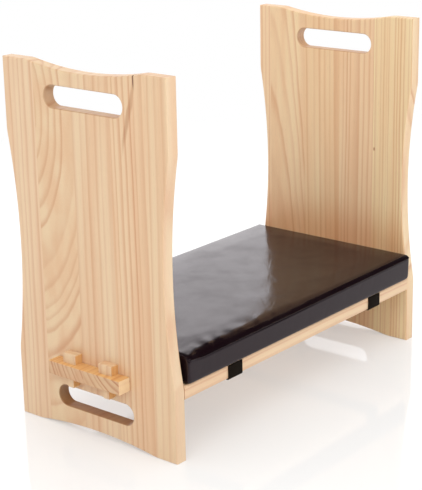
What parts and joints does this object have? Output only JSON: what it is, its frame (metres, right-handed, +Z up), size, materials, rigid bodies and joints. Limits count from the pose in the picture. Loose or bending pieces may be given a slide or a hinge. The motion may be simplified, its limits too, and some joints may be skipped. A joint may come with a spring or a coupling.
{
  "type": "garden kneeler",
  "caption": "Wooden garden kneeler with side panels, hand slots, a pegged through-tenon seat board and a strapped-on cushion.",
  "frame": {"origin": "on the floor, under the middle of the seat", "axes": "+X along the seat towards the right-hand panel, +Y towards the rear, +Z up"},
  "size_m": [0.584, 0.277, 0.48],
  "materials": {
    "panel_pine": "clear satin lacquer",
    "seat_pine": "clear satin lacquer",
    "peg_pine": "clear satin lacquer",
    "cushion_vinyl": "smooth glossy imitation leather",
    "seam_vinyl": "smooth glossy imitation leather",
    "foam": "open-cell foam",
    "elastic": "woven elastic"
  },
  "bodies": {
    "root": {"left_panel_stave_1": "panel_pine", "left_panel_stave_2": "panel_pine", "left_panel_stave_3": "panel_pine", "left_panel_stave_4": "panel_pine", "left_panel_stave_5": "panel_pine", "right_panel_stave_1": "panel_pine", "right_panel_stave_2": "panel_pine", "right_panel_stave_3": "panel_pine", "right_panel_stave_4": "panel_pine", "right_panel_stave_5": "panel_pine", "seat_board_stave_1": "seat_pine", "seat_board_stave_2": "seat_pine", "seat_board_stave_3": "seat_pine", "seat_board_stave_4": "seat_pine", "cushion_foam": "foam", "cushion_top_cover": "cushion_vinyl", "cushion_boxing": "cushion_vinyl", "cushion_base_cover": "cushion_vinyl", "cushion_welt": "seam_vinyl", "strap_left": "elastic", "strap_right": "elastic"},
    "peg_left_front": {"peg_left_front": "peg_pine"},
    "peg_left_rear": {"peg_left_rear": "peg_pine"},
    "peg_right_front": {"peg_right_front": "peg_pine"},
    "peg_right_rear": {"peg_right_rear": "peg_pine"}
  },
  "joints": [
    {"name": "peg_left_front_lift", "type": "slide", "parent": "root", "child": "peg_left_front", "axis": [0, 0, 1], "range_m": [0, 0.035]},
    {"name": "peg_left_rear_lift", "type": "slide", "parent": "root", "child": "peg_left_rear", "axis": [0, 0, 1], "range_m": [0, 0.035]},
    {"name": "peg_right_front_lift", "type": "slide", "parent": "root", "child": "peg_right_front", "axis": [0, 0, 1], "range_m": [0, 0.035]},
    {"name": "peg_right_rear_lift", "type": "slide", "parent": "root", "child": "peg_right_rear", "axis": [0, 0, 1], "range_m": [0, 0.035]}
  ]
}
